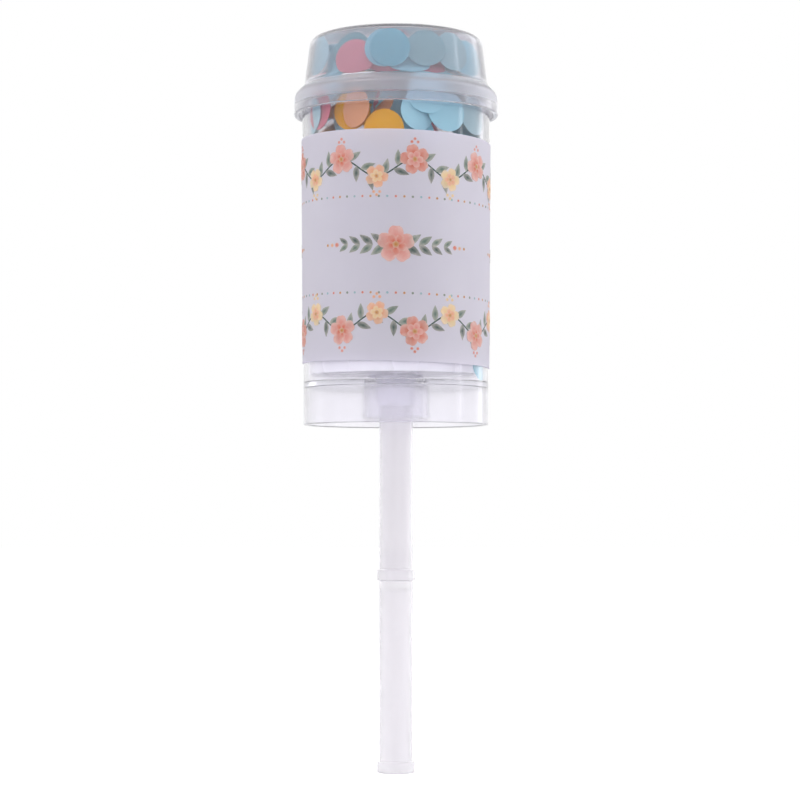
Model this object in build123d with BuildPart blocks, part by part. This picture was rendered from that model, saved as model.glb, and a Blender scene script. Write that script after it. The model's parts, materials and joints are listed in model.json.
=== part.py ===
from build123d import *
import math
import os

import numpy as np

# Confetti popper: a clear barrel with a lift-off lid, a piston on a two-piece push stick, a paper label
# and a chamber full of paper discs. Millimetres, +Z up, origin at the centre of the barrel's bottom rim.

# Barrel: a drafted tube over a straight skirt, with a floor, a guide sleeve and a rim flange
barrel_height = 88.8
skirt_radius = 24.8
barrel_draft = 0.5
barrel_wall = 1.3
floor_height = 10.05
floor_thickness = 1.2
flange_overhang = 0.7
flange_height = 2.9
sleeve_step = 1.9
sleeve_wall = 1.2
sleeve_length = 8.3
barrel_edge_round = 0.4

# Lid: a snap ring over the rim flange, a sloped shoulder and a tapered crown
lid_wall = 1.0
lid_ring_drop = 5.5
lid_shoulder_height = 2.6
lid_shoulder_slope = 2.5
lid_crown_height = 12.95
lid_crown_inset = 0.55
lid_crown_taper = 1.6
lid_crown_round = 2.4
lid_lip_bulge = 0.25
lid_lip_height = 2.1
lid_lip_round = 1.1

# Piston: a disc with a wiper rim above it, and a boss with gussets below it
piston_thickness = 1.4
piston_rim_height = 3.6
piston_rim_wall = 0.8
boss_wall = 0.72
boss_end_wall = 0.42
boss_length = 8.25
boss_taper_length = 3.0
gusset_count = 4
gusset_reach = 2.2
gusset_foot = 1.0
gusset_thickness = 1.0
gusset_height = 2.0

# Stick: two tubes, each with a collar at its lower end, joined by a plug
stick_radius = 4.55
stick_wall = 1.2
upper_stick_length = 54.75
lower_stick_length = 51.0
collar_step = 0.6
collar_height = 3.0
collar_round = 0.5
plug_length = 8.0
plug_lead_in = 0.6
plug_web = 2.2

# Label: paper wrapped round the barrel a little askew, with its seam at the back
label_above_floor = 5.8
label_below_mouth = 12.85
label_thickness = 0.2
label_skew = 1.5
label_seam = 0.8

# Confetti: paper discs that fill the chamber between the piston and the lid
flake_radius = 5.2
flake_thickness = 0.2
flake_steepest = 70.0
flake_twist = 35.0
flake_shares = {"blue": 0.44, "aqua": 0.2, "pink": 0.16, "peach": 0.1, "yellow": 0.1}
flake_seed = 16
stray_flake_turn = 70.0
stray_flake_width = 9.6
stray_flake_height = 6.4
stray_flake_thickness = 0.16

# Fits
running_clearance = 0.4
lid_clearance = 0.25
press_clearance = 0.03
label_clearance = 0.05
flake_clearance = 0.35

# Heights and radii that follow from the sizes above
bore_radius = skirt_radius - barrel_wall
mouth_radius = skirt_radius + barrel_draft
mouth_bore_radius = mouth_radius - barrel_wall
floor_top = floor_height + floor_thickness
flange_bottom = barrel_height - flange_height
flange_radius = mouth_radius + flange_overhang
socket_radius = stick_radius + press_clearance
boss_radius = socket_radius + boss_wall
boss_end_radius = socket_radius + boss_end_wall
collar_radius = stick_radius + collar_step
stick_hole_radius = max(boss_radius, collar_radius) + running_clearance
sleeve_bore_radius = stick_hole_radius + sleeve_step
sleeve_radius = sleeve_bore_radius + sleeve_wall
piston_radius = bore_radius - running_clearance
piston_underside = floor_top + gusset_height
piston_top = piston_underside + piston_thickness
piston_rim_top = piston_top + piston_rim_height
piston_rim_bore = piston_radius - piston_rim_wall
stick_bore_radius = stick_radius - stick_wall
stick_joint = piston_underside - upper_stick_length
foot_bottom = stick_joint - lower_stick_length
lid_bore_radius = flange_radius + lid_clearance
lid_ring_radius = lid_bore_radius + lid_wall
lid_shoulder_top = barrel_height + lid_shoulder_height
lid_top = lid_shoulder_top + lid_crown_height
lid_ceiling = lid_top - lid_wall
lid_crown_base_radius = mouth_radius - lid_crown_inset
lid_crown_top_radius = lid_crown_base_radius - lid_crown_taper
lid_bottom = barrel_height - lid_ring_drop
crown_base_bore = lid_crown_base_radius - lid_wall
crown_top_bore = lid_crown_top_radius - lid_wall
label_bottom = floor_height + label_above_floor
label_top = barrel_height - label_below_mouth


def barrel_radius(height):
    """Outside radius of the barrel's drafted wall, which starts at the floor."""
    draft = (mouth_radius - skirt_radius) / (flange_bottom - floor_height)
    return skirt_radius + draft * (height - floor_height)


os.makedirs("parts", exist_ok=True)

# Barrel
with BuildPart() as barrel:
    with BuildSketch(Plane.XZ):
        with BuildLine():
            Polyline(
                (skirt_radius, 0),
                (skirt_radius, floor_height),
                (mouth_radius, flange_bottom),
                (flange_radius, flange_bottom),
                (flange_radius, barrel_height),
                (mouth_bore_radius, barrel_height),
                (bore_radius, floor_top),
                (stick_hole_radius, floor_top),
                (stick_hole_radius, floor_height),
                (sleeve_bore_radius, floor_height),
                (sleeve_bore_radius, floor_height - sleeve_length),
                (sleeve_radius, floor_height - sleeve_length),
                (sleeve_radius, floor_height),
                (bore_radius, floor_height),
                (bore_radius, 0),
                close=True,
            )
        make_face()
    revolve(axis=Axis.Z)
    rim_edges = barrel.edges().filter_by(GeomType.CIRCLE).group_by(Axis.Z)
    fillet(rim_edges[-1], barrel_edge_round)
barrel.part.label = "barrel"
export_step(barrel.part, "parts/barrel.step")

# Lid
with BuildPart() as lid:
    with BuildSketch(Plane.XZ):
        with BuildLine():
            outside = FilletPolyline(
                (0, lid_top),
                (lid_crown_top_radius, lid_top),
                (lid_crown_base_radius, lid_shoulder_top),
                (lid_ring_radius, lid_shoulder_top - lid_shoulder_slope),
                (lid_ring_radius + lid_lip_bulge, lid_bottom + lid_lip_height),
                (lid_ring_radius + lid_lip_bulge, lid_bottom),
                (lid_bore_radius, lid_bottom),
                radius=[lid_crown_round, lid_wall, lid_wall, lid_wall, lid_lip_round],
            )
            Polyline(
                outside @ 1,
                (lid_bore_radius, barrel_height),
                (crown_base_bore, barrel_height),
                (crown_base_bore, lid_shoulder_top),
                (crown_top_bore, lid_ceiling),
                (0, lid_ceiling),
                outside @ 0,
            )
        make_face()
    revolve(axis=Axis.Z)
lid.part.label = "lid"
export_step(lid.part, "parts/lid.step")

# Piston
with BuildPart() as piston:
    with BuildSketch(Plane.XZ):
        with BuildLine():
            Polyline(
                (0, piston_top),
                (0, piston_underside),
                (socket_radius, piston_underside),
                (socket_radius, piston_underside - boss_length),
                (boss_end_radius, piston_underside - boss_length),
                (boss_radius, piston_underside - boss_length + boss_taper_length),
                (boss_radius, piston_underside),
                (piston_radius, piston_underside),
                (piston_radius, piston_rim_top),
                (piston_rim_bore, piston_rim_top),
                (piston_rim_bore, piston_top),
                close=True,
            )
        make_face()
    revolve(axis=Axis.Z)
    for gusset in range(gusset_count):
        with BuildSketch(Plane.XZ.rotated((0, 0, 360 * gusset / gusset_count))):
            with BuildLine():
                Polyline(
                    (socket_radius, piston_underside),
                    (boss_radius + gusset_reach, piston_underside),
                    (boss_radius + gusset_foot, floor_top),
                    (socket_radius, floor_top),
                    close=True,
                )
            make_face()
        extrude(amount=gusset_thickness / 2, both=True)
piston.part.label = "piston"
export_step(piston.part, "parts/piston.step")

# Upper stick section, pushed into the piston's boss
with BuildPart() as upper_stick:
    with BuildSketch(Plane.XY.offset(stick_joint)):
        Circle(stick_radius)
    extrude(amount=upper_stick_length)
    with BuildSketch(Plane.XY.offset(stick_joint)):
        Circle(collar_radius)
    extrude(amount=collar_height)
    fillet(upper_stick.edges().filter_by(GeomType.CIRCLE).sort_by(SortBy.RADIUS)[-2:], collar_round)
    with BuildSketch(Plane.XY.offset(stick_joint)):
        Circle(stick_bore_radius)
    extrude(amount=upper_stick_length, mode=Mode.SUBTRACT)
upper_stick.part.label = "upper_stick"
export_step(upper_stick.part, "parts/upper_stick.step")

# Lower stick section, with a plug that is pushed into the upper one
with BuildPart() as lower_stick:
    with BuildSketch(Plane.XY.offset(foot_bottom)):
        Circle(stick_radius)
    extrude(amount=lower_stick_length)
    with BuildSketch(Plane.XY.offset(foot_bottom)):
        Circle(collar_radius)
    extrude(amount=collar_height)
    fillet(lower_stick.edges().filter_by(GeomType.CIRCLE).sort_by(SortBy.RADIUS)[-2:], collar_round)
    with BuildSketch(Plane.XY.offset(stick_joint)):
        Circle(stick_bore_radius - press_clearance)
    extrude(amount=plug_length)
    chamfer(lower_stick.edges().group_by(Axis.Z)[-1], plug_lead_in)
    with BuildSketch(Plane.XY.offset(foot_bottom)):
        Circle(stick_bore_radius)
    extrude(amount=lower_stick_length - plug_web, mode=Mode.SUBTRACT)
lower_stick.part.label = "lower_stick"
export_step(lower_stick.part, "parts/lower_stick.step")

# Label, cut along two parallel planes that tip a little to one side
label_spare = 2 * mouth_radius * math.tan(math.radians(label_skew))
label_foot = label_bottom - label_spare
label_head = label_top + label_spare
seam_angle = math.degrees(label_seam / skirt_radius)
label_edge_tilt = (math.sin(math.radians(label_skew)), 0, math.cos(math.radians(label_skew)))
with BuildPart() as label:
    with BuildSketch(Plane.XZ.rotated((0, 0, 90 + seam_angle / 2))):
        with BuildLine():
            Polyline(
                (barrel_radius(label_foot) + label_clearance, label_foot),
                (barrel_radius(label_foot) + label_clearance + label_thickness, label_foot),
                (barrel_radius(label_head) + label_clearance + label_thickness, label_head),
                (barrel_radius(label_head) + label_clearance, label_head),
                close=True,
            )
        make_face()
    revolve(axis=Axis.Z, revolution_arc=360 - seam_angle)
    split(bisect_by=Plane((0, 0, label_bottom), z_dir=label_edge_tilt), keep=Keep.TOP)
    split(bisect_by=Plane((0, 0, label_top), z_dir=label_edge_tilt), keep=Keep.BOTTOM)
label.part.label = "label"
export_step(label.part, "parts/label.step")

# Stray flake, caught between the piston's rim and the barrel's wall
stray_flake_inside = piston_radius + (running_clearance - stray_flake_thickness) / 2
stray_flake_outside = stray_flake_inside + stray_flake_thickness
stray_flake_foot = floor_top + flake_clearance
stray_flake_head = stray_flake_foot + stray_flake_height
stray_flake_arc = math.degrees(stray_flake_width / bore_radius)
with BuildPart() as stray_flake:
    with BuildSketch(Plane.XZ.rotated((0, 0, stray_flake_turn - 90 - stray_flake_arc / 2))):
        with BuildLine():
            Polyline(
                (stray_flake_inside, stray_flake_foot),
                (stray_flake_outside, stray_flake_foot),
                (stray_flake_outside, stray_flake_head),
                (stray_flake_inside, stray_flake_head),
                close=True,
            )
        make_face()
    revolve(axis=Axis.Z, revolution_arc=stray_flake_arc)
stray_flake.part.label = "stray_flake"
export_step(stray_flake.part, "parts/stray_flake.step")

# Confetti: discs that show at the front, nearest first, each with its turn from the front, its rise above
# the barrel's mouth, its lean from upright and its twist away from the wall, with angles in degrees
front_flakes = [
    ("blue", 11, 5.0, 46, -8),
    ("blue", -4, 10.2, 8, 4),
    ("pink", -30, 6.7, 8, 12),
    ("aqua", -35, 12.1, 14, 10),
    ("blue", -8, 10.3, 8, 4),
    ("aqua", 22, 11.3, 18, -14),
    ("aqua", 44, 10.4, 10, -6),
    ("blue", 62, 8.0, 6, -16),
    ("aqua", 90, 9.9, 4, -12),
    ("pink", 30, 5.0, 14, -4),
    ("blue", -57, 6.9, 6, -6),
    ("aqua", -67, 12.1, 8, 4),
    ("pink", -7, 5.4, 12, 0),
    ("aqua", -38, 2.8, 72, 0),
    ("peach", -29, -6.4, 2, -20),
    ("yellow", -37, -6.5, 2, 10),
    ("yellow", -8, -12.3, 6, 0),
    ("blue", 15, -7.5, 2, 22),
    ("blue", 36, -7.4, 4, -8),
    ("aqua", 75, -6.3, 2, -22),
    ("peach", -15, -7.1, 34, -46),
    ("aqua", -2, -5.4, 50, 10),
    ("pink", -62, -5.6, 4, 4),
    ("blue", 3, -2.9, 34, 0),
    ("blue", 21, -3.4, 14, 0),
    ("pink", -12, -2.8, 10, 0),
    ("blue", 15, -13.2, 6, 0),
    ("aqua", -90, -5.4, 4, 10),
    ("blue", -61, 0.2, 20, 0),
    ("blue", 43, -0.5, 24, 0),
]

# How the chamber is filled: points round a flake's edge, strides of a moving flake, places tried for each
# flake, and how often all of them may be taken before the chamber counts as full
rim_points = 40
longest_stride = 0.9
shortest_stride = 0.1
places_tried = 8
times_full = 6
chance = np.random.default_rng(flake_seed)
down = np.array([0.0, 0.0, -1.0])
flake_pitch = flake_thickness + flake_clearance
lowest_edge = piston_top + flake_clearance
highest_edge = lid_ceiling - flake_clearance
above_rim = piston_rim_top + flake_clearance
chamber_wall = np.array(
    [
        (piston_top, piston_rim_bore),
        (above_rim, piston_rim_bore),
        (above_rim, bore_radius),
        (barrel_height, mouth_bore_radius),
        (barrel_height, crown_base_bore),
        (lid_shoulder_top, crown_base_bore),
        (lid_ceiling, crown_top_bore),
    ]
)


def heading(turn, lean):
    """A unit vector at a turn about the axis, leaning up from level, both in radians."""
    return np.array([math.cos(turn) * math.cos(lean), math.sin(turn) * math.cos(lean), math.sin(lean)])


def flake_rim(normal):
    """Points round a flake's edge, seen from its centre."""
    side = np.cross(normal, np.eye(3)[np.abs(normal).argmin()])
    side /= np.linalg.norm(side)
    turns = np.linspace(0, 2 * math.pi, rim_points, endpoint=False)
    return flake_radius * (np.outer(np.cos(turns), side) + np.outer(np.sin(turns), np.cross(normal, side)))


def distances_to_discs(points, centres, normals):
    """Distances from points to flat discs of a flake's radius."""
    away = points - centres
    height = (away * normals).sum(-1)
    beyond = np.sqrt(np.maximum((away**2).sum(-1) - height**2, 0)) - flake_radius
    return np.hypot(height, np.maximum(beyond, 0))


class Pile:
    """The flakes in the chamber, each with a colour, a centre, a normal and the points of its edge."""

    def __init__(self):
        self.colours = []
        self.centres = np.empty((0, 3))
        self.normals = np.empty((0, 3))
        self.edges = np.empty((0, rim_points, 3))

    def add(self, colour, centre, normal, rim):
        """Puts one more flake in the chamber."""
        self.colours.append(colour)
        self.centres = np.vstack([self.centres, centre])
        self.normals = np.vstack([self.normals, normal])
        self.edges = np.concatenate([self.edges, [centre + rim]])

    def has_room(self, centre, normal, rim):
        """True where a flake clears every flake in the chamber, and the walls beside it and below it."""
        edge = centre + rim
        lowest = edge[:, 2].min()
        if lowest < lowest_edge or edge[:, 2].max() > highest_edge:
            return False
        wall = np.minimum(np.interp(edge[:, 2], *chamber_wall.T), np.interp(lowest, *chamber_wall.T))
        if (np.hypot(edge[:, 0], edge[:, 1]) > wall - flake_clearance).any():
            return False
        near = np.linalg.norm(self.centres - centre, axis=1) < 2 * flake_radius + flake_pitch
        if not near.any():
            return True
        to_them = distances_to_discs(edge, self.centres[near][:, None], self.normals[near][:, None])
        to_it = distances_to_discs(self.edges[near], centre, normal)
        return min(to_them.min(), to_it.min()) > flake_pitch

    def settle(self, centre, travel, normal, rim):
        """Moves a flake along travel until it meets something, and returns where it stops."""
        stride = longest_stride
        while stride > shortest_stride:
            if self.has_room(centre + stride * travel, normal, rim):
                centre = centre + stride * travel
            else:
                stride /= 2
        return centre

    def top_near(self, centre):
        """Height of the pile under a flake that is about to be dropped."""
        under = np.hypot(*(self.centres - centre)[:, :2].T) < 2 * flake_radius
        return self.edges[under][:, :, 2].max(initial=lowest_edge)


def dropped_flake(pile):
    """Where one flake comes to rest, its normal and its rim, or None where it finds no room."""
    turn = chance.uniform(0, 2 * math.pi)
    steepness = math.radians(flake_steepest) * chance.uniform()
    twist = math.radians(flake_twist) * chance.normal()
    normal = heading(turn + twist, math.pi / 2 - steepness)
    rim = flake_rim(normal)
    outward = heading(turn, 0)
    start = outward * (crown_top_bore - flake_radius * math.cos(steepness)) * math.sqrt(chance.uniform())
    reach = rim[:, 2].max()
    start[2] = min(highest_edge - reach, pile.top_near(start) + reach + longest_stride)
    if not pile.has_room(start, normal, rim):
        return None
    for travel in (down, outward, down):
        start = pile.settle(start, travel, normal, rim)
    return start, normal, rim


def set_at_front(pile, colour, turn, rise, lean, twist):
    """Puts a flake at the front, as near to the wall as there is room for it."""
    outward = heading(math.radians(turn - 90), 0)
    normal = heading(math.radians(turn + twist - 90), math.radians(lean))
    rim = flake_rim(normal)
    height = min(barrel_height + rise, highest_edge - rim[:, 2].max())
    for reach in np.arange(mouth_bore_radius, 0, -shortest_stride):
        centre = reach * outward - height * down
        if pile.has_room(centre, normal, rim):
            pile.add(colour, centre, normal, rim)
            return


def filled_chamber():
    """The front flakes set against the wall, and the rest dropped until the chamber is full."""
    pile = Pile()
    for flake in front_flakes:
        set_at_front(pile, *flake)
    colours = list(flake_shares)
    shares = np.array(list(flake_shares.values()))
    shares /= shares.sum()
    misses = 0
    while misses < times_full:
        places = [dropped_flake(pile) for _ in range(places_tried)]
        found = [place for place in places if place]
        if found:
            pile.add(str(chance.choice(colours, p=shares)), *min(found, key=lambda place: place[0][2]))
        else:
            misses += 1
    return pile


confetti = filled_chamber()
for colour in flake_shares:
    centres = [c for c, name in zip(confetti.centres, confetti.colours) if name == colour]
    normals = [n for n, name in zip(confetti.normals, confetti.colours) if name == colour]
    with BuildPart() as flakes:
        with Locations(*[Plane(origin=tuple(c), z_dir=tuple(n)) for c, n in zip(centres, normals)]):
            Cylinder(flake_radius, flake_thickness)
    flakes.part.label = f"confetti_{colour}"
    export_step(flakes.part, f"parts/confetti_{colour}.step")
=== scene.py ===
import json
import math

import bmesh
import bpy
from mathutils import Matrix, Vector


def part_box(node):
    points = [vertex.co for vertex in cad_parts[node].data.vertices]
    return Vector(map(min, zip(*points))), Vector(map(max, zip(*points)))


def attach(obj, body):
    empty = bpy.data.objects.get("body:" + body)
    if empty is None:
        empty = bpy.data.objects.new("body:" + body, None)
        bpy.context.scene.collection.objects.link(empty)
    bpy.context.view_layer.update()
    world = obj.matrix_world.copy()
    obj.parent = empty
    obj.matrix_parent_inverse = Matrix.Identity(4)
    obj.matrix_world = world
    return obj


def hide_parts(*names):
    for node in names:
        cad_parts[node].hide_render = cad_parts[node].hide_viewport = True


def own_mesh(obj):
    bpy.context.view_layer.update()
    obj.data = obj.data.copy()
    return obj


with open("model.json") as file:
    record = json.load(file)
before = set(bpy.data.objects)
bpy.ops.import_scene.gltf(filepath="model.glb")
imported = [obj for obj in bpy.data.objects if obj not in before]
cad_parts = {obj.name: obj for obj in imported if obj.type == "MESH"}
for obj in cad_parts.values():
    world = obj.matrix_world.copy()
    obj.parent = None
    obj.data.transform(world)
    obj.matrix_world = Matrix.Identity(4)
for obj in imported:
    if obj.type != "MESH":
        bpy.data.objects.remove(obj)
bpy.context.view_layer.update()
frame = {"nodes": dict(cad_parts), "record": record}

# A push-up confetti popper: clear barrel and lid, piston on a two-piece stick, paper label, paper confetti.
# Every length below is in millimetres, and every mesh is made in metres in the frame's own place.
mm = 0.001

# Camera and room, as the photograph shows them
camera_lens = 103.1
camera_place = (1.08, -614.5, -20.7)
camera_aim = (1.08, 0.0, 6.8)
lamp_aim = (0, 0, 10)
floor_reach = 3000.0
floor_glow = 0.8

# Walls and rounds of the turned pieces
turn_steps = 192
round_steps = 5
# The most of a side that a round takes, and how many rounds from a corner the outline is held straight
round_limit = 0.35
round_hold = 1.3
sharp_angle = math.radians(40)
edge_round = 0.35
skirt_round = 1.0
frost_border = 0.45
barrel_wall = 1.3
barrel_draft = 0.5
floor_height = 10.05
floor_thickness = 1.2
flange_overhang = 0.7
flange_height = 2.9
stick_hole_radius = 5.7
sleeve_bore_radius = 7.6
sleeve_wall = 1.2
sleeve_length = 8.3
lid_wall = 1.0
lid_lip_bulge = 0.25
lid_lip_height = 2.1
lid_shoulder_height = 2.6
lid_shoulder_slope = 2.5
lid_crown_inset = 0.55
lid_crown_taper = 1.6
lid_crown_round = 2.4
piston_thickness = 1.4
piston_rim_height = 3.6
piston_rim_wall = 0.8
boss_wall = 0.72
boss_end_wall = 0.42
boss_taper_length = 3.0
gusset_count = 4
gusset_reach = 2.2
gusset_foot = 1.0
gusset_thickness = 1.0
gusset_height = 2.0
collar_step = 0.6
collar_height = 3.0
stick_wall = 1.2
plug_length = 8.0
plug_lead_in = 0.6
plug_web = 2.2
press_clearance = 0.03

# Plastic: how it bends light, how fast its tint deepens, how far the ring's frost stops below its shoulder
plastic_ior = 1.49
tint_density = 10.0
ring_frost_drop = 0.8

# Label
label_thickness = 0.2
label_clearance = 0.05
label_height = 60.1
label_skew = math.radians(1.5)
label_seam = 0.8
label_rows = 12

# Print on the label: vines, pearls, blossoms, leaves, berries and sprigs
film_depth = 0.11
vine_waves = 8
vine_level = 20.0
vine_height = 2.3
vine_width = 0.35
vine_columns = 240
vine_lift = 0.025
pearl_level = 12.5
pearl_count = 72
pearl_size = 0.34
pearl_lift = 0.03
petal_count = 5
petal_steps = 14
petal_middle = 2.3
petal_reach = 1.95
petal_half_width = 1.6
petal_notch = 0.45
notch_sharpness = 8
petal_heart = 1.3
# Sizes of a vine blossom's outer petals, inner petals and eye, and their lifts above the paper
blossom_sizes = (1.0, 0.56, 0.75)
blossom_lifts = (0.11, 0.14, 0.17)
blossom_turn = 0.7
small_blossom = 0.78
leaf_length = 5.0
leaf_steps = 6
leaf_half_width = 1.05
leaf_heart = 2.2
leaf_fullness = 0.8
leaf_lift = 0.045
lower_leaf_lift = 0.05
vine_leaf_size = 0.86
vine_leaf_turn = 0.95
dot_steps = 10
berry_size = 0.42
berry_lift = 0.05
berry_clearance = 1.9
sprig_count = 3
sprig_leaves = 4
sprig_pitch = 3.5
sprig_start = 2.5
sprig_sizes = (1.25, 0.72, 0.9)
sprig_lifts = (0.12, 0.15, 0.18)
sprig_turn = 0.3
sprig_leaf_turn = 0.6
sprig_taper = 0.12
sprig_berry_size = 0.62
sprig_berry_pitch = 1.6

# Loose flakes, and the one that is caught beside the piston
flake_radius = 5.2
flake_thickness = 0.12
flake_strips = 12
flake_curl = 0.75
# Seeds of each colour's shades, chosen so that the flakes in the window are pale and some in the lid deep, as
# in the photograph
# These seeds paint light and shade: pale flakes stand for the brighter light in the window, deep ones for the
# shade in the lid
flake_seeds = {"blue": 2873, "aqua": 1583, "pink": 6, "peach": 7, "yellow": 8}
# Aqua flakes that close gaps in the window: turn from the front, distance from the axis, drop below the mouth
window_flakes = [(-72.0, 22.2, 6.3), (-94.0, 22.0, 5.8), (-47.0, 17.5, 7.6), (92.0, 22.2, 6.2)]
# Share of the pile's height that stays when the piston crushes it, and the gap it keeps to lid and piston rim
flake_crush = 0.12
flake_gap = 0.1
weld_distance = 0.001
stray_turn = math.radians(70.0)
stray_width = 9.6
stray_thickness = 0.16
stray_columns = 16
stray_rows = 6


def corners_of(node):
    """A CAD node's lowest and highest corners in millimetres."""
    return [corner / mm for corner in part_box(node)]


# Heights and radii that follow from the frame
barrel_top = corners_of("barrel")[1].z
flange_radius = corners_of("barrel")[1].x
flange_bottom = barrel_top - flange_height
mouth_radius = flange_radius - flange_overhang
skirt_radius = mouth_radius - barrel_draft
bore_radius = skirt_radius - barrel_wall
floor_top = floor_height + floor_thickness
lid_bottom = corners_of("lid")[0].z
lid_top = corners_of("lid")[1].z
lid_ring_radius = corners_of("lid")[1].x - lid_lip_bulge
lid_shoulder_top = barrel_top + lid_shoulder_height
crown_base_radius = mouth_radius - lid_crown_inset
crown_top_radius = crown_base_radius - lid_crown_taper
piston_radius = corners_of("piston")[1].x
piston_rim_top = corners_of("piston")[1].z
piston_top = piston_rim_top - piston_rim_height
piston_underside = piston_top - piston_thickness
boss_bottom = corners_of("piston")[0].z
collar_radius = corners_of("upper_stick")[1].x
stick_radius = collar_radius - collar_step
stick_bore = stick_radius - stick_wall
stick_top = corners_of("upper_stick")[1].z
stick_joint = corners_of("upper_stick")[0].z
stick_foot = corners_of("lower_stick")[0].z
boss_radius = stick_radius + press_clearance + boss_wall
label_middle = (corners_of("label")[0].z + corners_of("label")[1].z) / 2
joint_ranges = {joint["name"]: joint["range_m"] for joint in frame["record"]["behaviour"]["joints"]}
plunger_travel = joint_ranges["plunger_push"][1] / mm


def barrel_radius(height):
    """Outside radius of the barrel's drafted wall."""
    return skirt_radius + barrel_draft * (height - floor_height) / (flange_bottom - floor_height)


# Nodes and meshes
scene = bpy.context.scene


def linear(colour):
    """Linear RGBA from an sRGB hex colour."""
    channels = [int(colour[place:place + 2], 16) / 255 for place in (0, 2, 4)]
    return [c / 12.92 if c <= 0.04045 else ((c + 0.055) / 1.055) ** 2.4 for c in channels] + [1.0]


def add(tree, kind, inputs=(), **settings):
    """Adds a node, sets its properties, and fills its inputs with values or links."""
    node = tree.nodes.new(kind)
    for name, value in settings.items():
        setattr(node, name, value)
    for name, value in dict(inputs).items():
        if isinstance(value, bpy.types.NodeSocket):
            tree.links.new(value, node.inputs[name])
        else:
            node.inputs[name].default_value = value
    return node


def worked(tree, operation, *values):
    """Value of a Math node on values or links."""
    return add(tree, "ShaderNodeMath", enumerate(values), operation=operation).outputs["Value"]


def blended(tree, share, low, high, kind="FLOAT"):
    """Result of a Mix node, from low where the share is 0 to high where it is 1."""
    inputs = {"Factor": share, "A": low, "B": high}
    return add(tree, "ShaderNodeMix", inputs, data_type=kind).outputs["Result"]


def ranged(tree, value, start, end, low=0.0, high=1.0, **settings):
    """Result of a Map Range node, from low to high as the value goes from start to end."""
    inputs = {"Value": value, "From Min": start, "From Max": end, "To Min": low, "To Max": high}
    return add(tree, "ShaderNodeMapRange", inputs, **settings).outputs["Result"]


def layered(tree, share, under, over):
    """Shader of a Mix Shader node, in which the second shader has a share."""
    return add(tree, "ShaderNodeMixShader", {0: share, 1: under, 2: over}).outputs["Shader"]


def point_value(tree, name, kind="FLOAT"):
    """The value that a mesh keeps under a name, in a Geometry Nodes tree."""
    return add(tree, "GeometryNodeInputNamedAttribute", {"Name": name}, data_type=kind).outputs["Attribute"]


def keep_values(mesh, name, values, kind="FLOAT", part="value"):
    """Keeps a value for each point of a mesh under a name."""
    mesh.attributes.new(name, kind, "POINT").data.foreach_set(part, values)


def shown(name, mesh, material=None):
    """Puts a mesh in the scene as an object of that name."""
    piece = bpy.data.objects.new(name, mesh)
    scene.collection.objects.link(piece)
    if material:
        mesh.materials.append(material)
    return piece


def smoothed(mesh):
    """Shades a mesh smoothly, with its sharp edges kept."""
    mesh.polygons.foreach_set("use_smooth", [True] * len(mesh.polygons))
    mesh.set_sharp_from_angle(angle=sharp_angle)


def made_mesh(name, vertices, faces):
    """A closed mesh in metres from points in millimetres, with its faces turned outwards."""
    mesh = bpy.data.meshes.new(name)
    mesh.from_pydata([Vector(v) * mm for v in vertices], [], faces)
    shell = bmesh.new()
    shell.from_mesh(mesh)
    bmesh.ops.recalc_face_normals(shell, faces=shell.faces)
    shell.to_mesh(mesh)
    shell.free()
    smoothed(mesh)
    return mesh


def eased(corners):
    """A closed outline from (radius, height, round) corners, each rounded and held straight beside it."""
    points = []
    for place, (radius, height, ease) in enumerate(corners):
        corner = Vector((radius, height))
        back = Vector(corners[place - 1][:2]) - corner
        ahead = Vector(corners[(place + 1) % len(corners)][:2]) - corner
        ease = min(ease, round_limit * back.length, round_limit * ahead.length)
        if ease == 0:
            points.append(corner)
            continue
        start = corner + ease * back.normalized()
        end = corner + ease * ahead.normalized()
        points.append(corner + round_hold * ease * back.normalized())
        for step in range(round_steps + 1):
            share = step / round_steps
            points.append((1 - share) ** 2 * start + 2 * share * (1 - share) * corner + share**2 * end)
        points.append(corner + round_hold * ease * ahead.normalized())
    return points


def turned(name, corners):
    """A mesh turned about the popper's axis from a closed outline."""
    vertices = []
    rings = []
    for radius, height in eased(corners):
        count = turn_steps if radius > 0 else 1
        rings.append([len(vertices) + step for step in range(count)])
        for step in range(count):
            turn = 2 * math.pi * step / turn_steps
            vertices.append((radius * math.cos(turn), radius * math.sin(turn), height))
    faces = []
    for near, far in zip(rings, rings[1:] + rings[:1]):
        for step in range(turn_steps):
            around = ((near, step), (near, step + 1), (far, step + 1), (far, step))
            face = list(dict.fromkeys(ring[at % len(ring)] for ring, at in around))
            if len(face) > 2:
                faces.append(face)
    return made_mesh(name, vertices, faces)


def sheet_mesh(name, place_at, columns, rows):
    """A thin closed sheet: place_at(across, up, side) gives a point, with side 0 inside and 1 outside."""
    vertices = []
    for side in (0, 1):
        for column in range(columns + 1):
            for row in range(rows + 1):
                vertices.append(place_at(column / columns, row / rows, side))
    wide = rows + 1
    layer = wide * (columns + 1)
    faces = []
    for column in range(columns):
        for row in range(rows):
            corner = column * wide + row
            faces.append((corner, corner + 1, corner + wide + 1, corner + wide))
            faces.append(tuple(layer + c for c in (corner, corner + wide, corner + wide + 1, corner + 1)))
    border = [column * wide for column in range(columns)]
    border += [columns * wide + row for row in range(rows)]
    border += [column * wide + rows for column in range(columns, 0, -1)]
    border += list(range(rows, 0, -1))
    for here, there in zip(border, border[1:] + border[:1]):
        faces.append((here, there, layer + there, layer + here))
    return made_mesh(name, vertices, faces)


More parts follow.
